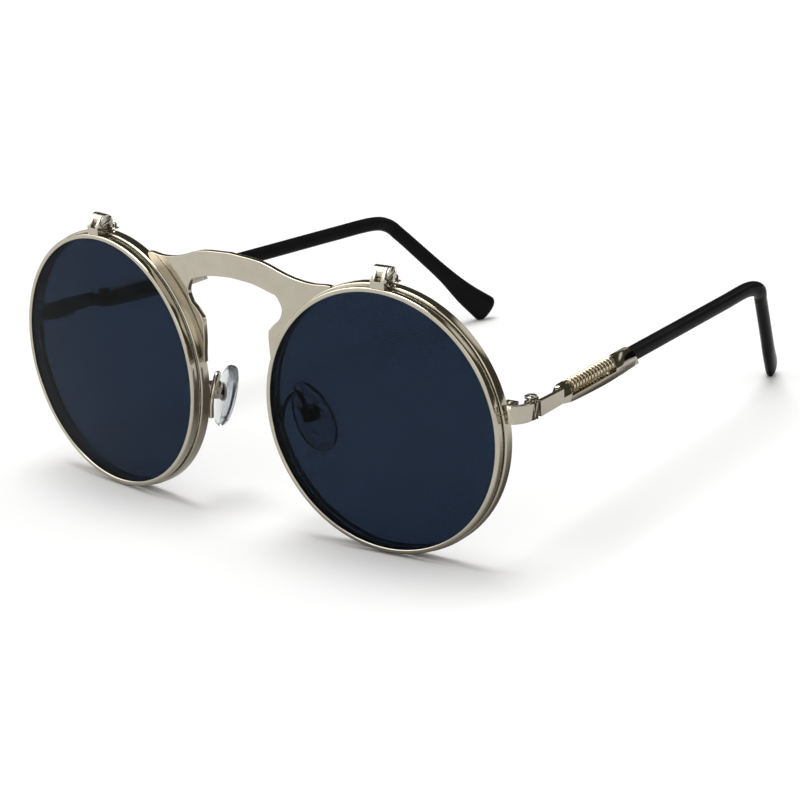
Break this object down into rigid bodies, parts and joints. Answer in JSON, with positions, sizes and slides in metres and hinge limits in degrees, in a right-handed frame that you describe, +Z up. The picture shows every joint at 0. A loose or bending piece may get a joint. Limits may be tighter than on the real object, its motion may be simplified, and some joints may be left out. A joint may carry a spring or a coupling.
{
  "type": "sunglasses",
  "caption": "Round metal sunglasses with dark lenses that flip up from clear ones, a keyhole bridge, coil springs in the temples and black tips",
  "frame": {"origin": "on the table, under the middle of the glasses seen from above", "axes": "+X towards the wearer's left, +Y back along the temples, +Z up; the front faces -Y"},
  "size_m": [0.1226, 0.1262, 0.055],
  "materials": {
    "polished_metal": "polished warm nickel",
    "screw_steel": "polished screw and rod steel",
    "spring_steel": "polished round spring wire",
    "dark_lens": "smoked grey-blue lens",
    "clear_lens": "clear lens",
    "black_acetate": "glossy black acetate",
    "clear_silicone": "soft clear silicone",
    "pad_insert": "dark stamped steel insert"
  },
  "bodies": {
    "front": {"bridge_plate": "polished_metal", "fixed_rim_right": "polished_metal", "clear_lens_right": "clear_lens", "flip_bracket_right": "polished_metal", "flip_screw_right": "screw_steel", "end_piece_right": "polished_metal", "closing_blocks_right": "polished_metal", "closing_screw_right": "screw_steel", "temple_screw_right": "screw_steel", "pad_arm_right": "polished_metal", "pad_screw_right": "screw_steel", "fixed_rim_left": "polished_metal", "clear_lens_left": "clear_lens", "flip_bracket_left": "polished_metal", "flip_screw_left": "screw_steel", "end_piece_left": "polished_metal", "closing_blocks_left": "polished_metal", "closing_screw_left": "screw_steel", "temple_screw_left": "screw_steel", "pad_arm_left": "polished_metal", "pad_screw_left": "screw_steel"},
    "flip_right": {"flip_rim_right": "polished_metal", "dark_lens_right": "dark_lens", "flip_tab_right": "polished_metal"},
    "temple_right": {"temple_leaf_right": "polished_metal", "temple_bar_right": "polished_metal", "spring_rod_right": "screw_steel", "temple_spring_right": "spring_steel", "temple_tip_right": "black_acetate"},
    "pad_right": {"pad_insert_right": "pad_insert", "nose_pad_right": "clear_silicone"},
    "flip_left": {"flip_rim_left": "polished_metal", "dark_lens_left": "dark_lens", "flip_tab_left": "polished_metal"},
    "temple_left": {"temple_leaf_left": "polished_metal", "temple_bar_left": "polished_metal", "spring_rod_left": "screw_steel", "temple_spring_left": "spring_steel", "temple_tip_left": "black_acetate"},
    "pad_left": {"pad_insert_left": "pad_insert", "nose_pad_left": "clear_silicone"}
  },
  "joints": [
    {"name": "flip_right", "type": "hinge", "parent": "front", "child": "flip_right", "pos_m": [0.03566, -0.05804, 0.05365], "axis": [-0.9942, -0.108, 0], "range_deg": [0, 95]},
    {"name": "fold_right", "type": "hinge", "parent": "front", "child": "temple_right", "pos_m": [0.05885, -0.04664, 0.0291], "axis": [0, 0, 1], "range_deg": [0, 79]},
    {"name": "pad_rock_right", "type": "hinge", "parent": "front", "child": "pad_right", "pos_m": [0.01218, -0.05449, 0.0221], "axis": [0.7709, 0.5089, 0.383], "range_deg": [-8, 8]},
    {"name": "flip_left", "type": "hinge", "parent": "front", "child": "flip_left", "pos_m": [-0.03566, -0.05804, 0.05365], "axis": [-0.9942, 0.108, 0], "range_deg": [0, 95]},
    {"name": "fold_left", "type": "hinge", "parent": "front", "child": "temple_left", "pos_m": [-0.05885, -0.04664, 0.0291], "axis": [0, 0, -1], "range_deg": [0, 66]},
    {"name": "pad_rock_left", "type": "hinge", "parent": "front", "child": "pad_left", "pos_m": [-0.01218, -0.05449, 0.0221], "axis": [0.7709, -0.5089, -0.383], "range_deg": [-8, 8]}
  ]
}
